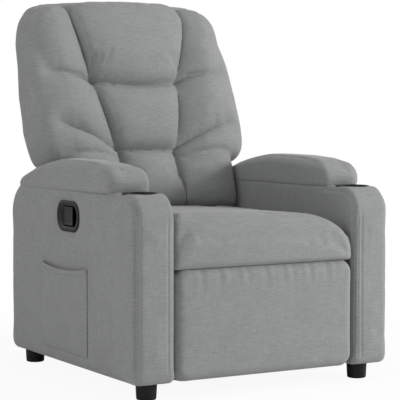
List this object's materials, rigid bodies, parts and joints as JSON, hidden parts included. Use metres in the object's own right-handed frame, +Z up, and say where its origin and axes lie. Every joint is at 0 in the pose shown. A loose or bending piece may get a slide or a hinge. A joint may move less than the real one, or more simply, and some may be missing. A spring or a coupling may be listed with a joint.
{
  "type": "recliner armchair",
  "caption": "Fabric recliner armchair with cup holders in padded arms, a chambered reclining back, a gliding seat, a pull handle and a fold-out footrest on a linkage.",
  "frame": {"origin": "centre of the chair's footprint at floor level", "axes": "+X to the right of a viewer in front of the chair, +Y to its back, +Z up; the chair faces -Y"},
  "size_m": [0.779, 0.9054, 1.0544],
  "materials": {
    "upholstery": "woven linen-like, matt",
    "black_plastic": "fine grain, matt",
    "frame_wood": "raw plywood and softwood",
    "webbing": "elastic band",
    "bright_steel": "zinc plated",
    "painted_steel": "black paint, satin"
  },
  "bodies": {
    "base": {"arm_cover_left": "upholstery", "arm_cover_right": "upholstery", "arm_frame_left": "frame_wood", "arm_frame_right": "frame_wood", "arm_pad_left": "upholstery", "arm_pad_right": "upholstery", "cup_holder_left": "black_plastic", "cup_holder_right": "black_plastic", "front_feet": "black_plastic", "rear_feet": "black_plastic", "foot_screws": "bright_steel", "mid_cross_rail": "frame_wood", "rear_cross_rail": "frame_wood", "frame_bolts": "bright_steel", "base_rail_left": "painted_steel", "base_rail_right": "painted_steel", "base_pivot_pins": "bright_steel", "handle_bezel": "black_plastic", "handle_pin": "bright_steel", "side_pocket": "upholstery"},
    "handle": {"pull_handle": "black_plastic"},
    "front_swing": {"front_swing_links": "painted_steel"},
    "rear_swing": {"rear_swing_links": "painted_steel"},
    "seat": {"seat_side_rail_left": "frame_wood", "seat_side_rail_right": "frame_wood", "seat_front_rail": "frame_wood", "seat_rear_rail": "frame_wood", "seat_springs": "bright_steel", "seat_cushion": "upholstery", "seat_plate_left": "painted_steel", "seat_plate_right": "painted_steel", "seat_pivot_pins": "bright_steel"},
    "main_links": {"footrest_main_link_left": "painted_steel", "footrest_main_link_right": "painted_steel", "main_link_pins": "bright_steel", "drive_tube": "painted_steel"},
    "long_links": {"footrest_long_link_left": "painted_steel", "footrest_long_link_right": "painted_steel", "long_link_pins": "bright_steel"},
    "guide_links": {"footrest_guide_links": "painted_steel"},
    "tie_links": {"footrest_tie_links": "painted_steel"},
    "footrest": {"footrest_board": "frame_wood", "footrest_pad": "upholstery", "footrest_bracket_left": "painted_steel", "footrest_bracket_right": "painted_steel", "footrest_pins": "bright_steel"},
    "back": {"back_side_rail_left": "frame_wood", "back_side_rail_right": "frame_wood", "back_top_rail": "frame_wood", "back_bottom_rail": "frame_wood", "back_webbing": "webbing", "back_bracket_left": "painted_steel", "back_bracket_right": "painted_steel", "headrest_pad": "upholstery", "lumbar_pad": "upholstery", "lower_back_pad": "upholstery", "wing_pads_left": "upholstery", "wing_pads_right": "upholstery", "back_rear_cover": "upholstery"}
  },
  "joints": [
    {"name": "back_recline", "type": "hinge", "parent": "seat", "child": "back", "pos_m": [0, 0.18387, 0.36954], "axis": [-1, 0, 0], "range_deg": [0, 34]},
    {"name": "front_swing_turn", "type": "hinge", "parent": "base", "child": "front_swing", "pos_m": [0, -0.09163, 0.23343], "axis": [1, 0, 0], "range_deg": [0, 36]},
    {"name": "rear_swing_turn", "type": "hinge", "parent": "base", "child": "rear_swing", "pos_m": [0, 0.08837, 0.23343], "axis": [1, 0, 0], "range_deg": [0, 36]},
    {"name": "seat_level", "type": "hinge", "parent": "front_swing", "child": "seat", "pos_m": [0, -0.07, 0.3], "axis": [-1, 0, 0], "range_deg": [0, 36]},
    {"name": "footrest_extend", "type": "hinge", "parent": "seat", "child": "main_links", "pos_m": [0, -0.265, 0.292], "axis": [-1, 0, 0], "range_deg": [0, 90]},
    {"name": "long_link_turn", "type": "hinge", "parent": "main_links", "child": "long_links", "pos_m": [0, -0.15467, 0.08451], "axis": [1, 0, 0], "range_deg": [0, 90]},
    {"name": "guide_link_turn", "type": "hinge", "parent": "seat", "child": "guide_links", "pos_m": [0, -0.3122, 0.32904], "axis": [-1, 0, 0], "range_deg": [0, 90]},
    {"name": "tie_link_turn", "type": "hinge", "parent": "main_links", "child": "tie_links", "pos_m": [0, -0.18049, 0.13307], "axis": [1, 0, 0], "range_deg": [0, 90]},
    {"name": "footrest_turn", "type": "hinge", "parent": "long_links", "child": "footrest", "pos_m": [0, -0.32667, 0.21951], "axis": [-1, 0, 0], "range_deg": [0, 90]},
    {"name": "handle_pull", "type": "hinge", "parent": "base", "child": "handle", "pos_m": [-0.384, -0.028, 0.448], "axis": [0, 0, -1], "range_deg": [0, 40], "stiffness_Nm_per_rad": 0.6}
  ],
  "couplings": [
    {"joint": "front_swing_turn", "follows": "back_recline", "ratio": 1.0588},
    {"joint": "rear_swing_turn", "follows": "back_recline", "ratio": 1.0588},
    {"joint": "seat_level", "follows": "back_recline", "ratio": 1.0588},
    {"joint": "long_link_turn", "follows": "footrest_extend", "ratio": 1},
    {"joint": "guide_link_turn", "follows": "footrest_extend", "ratio": 1},
    {"joint": "tie_link_turn", "follows": "footrest_extend", "ratio": 1},
    {"joint": "footrest_turn", "follows": "footrest_extend", "ratio": 1}
  ]
}
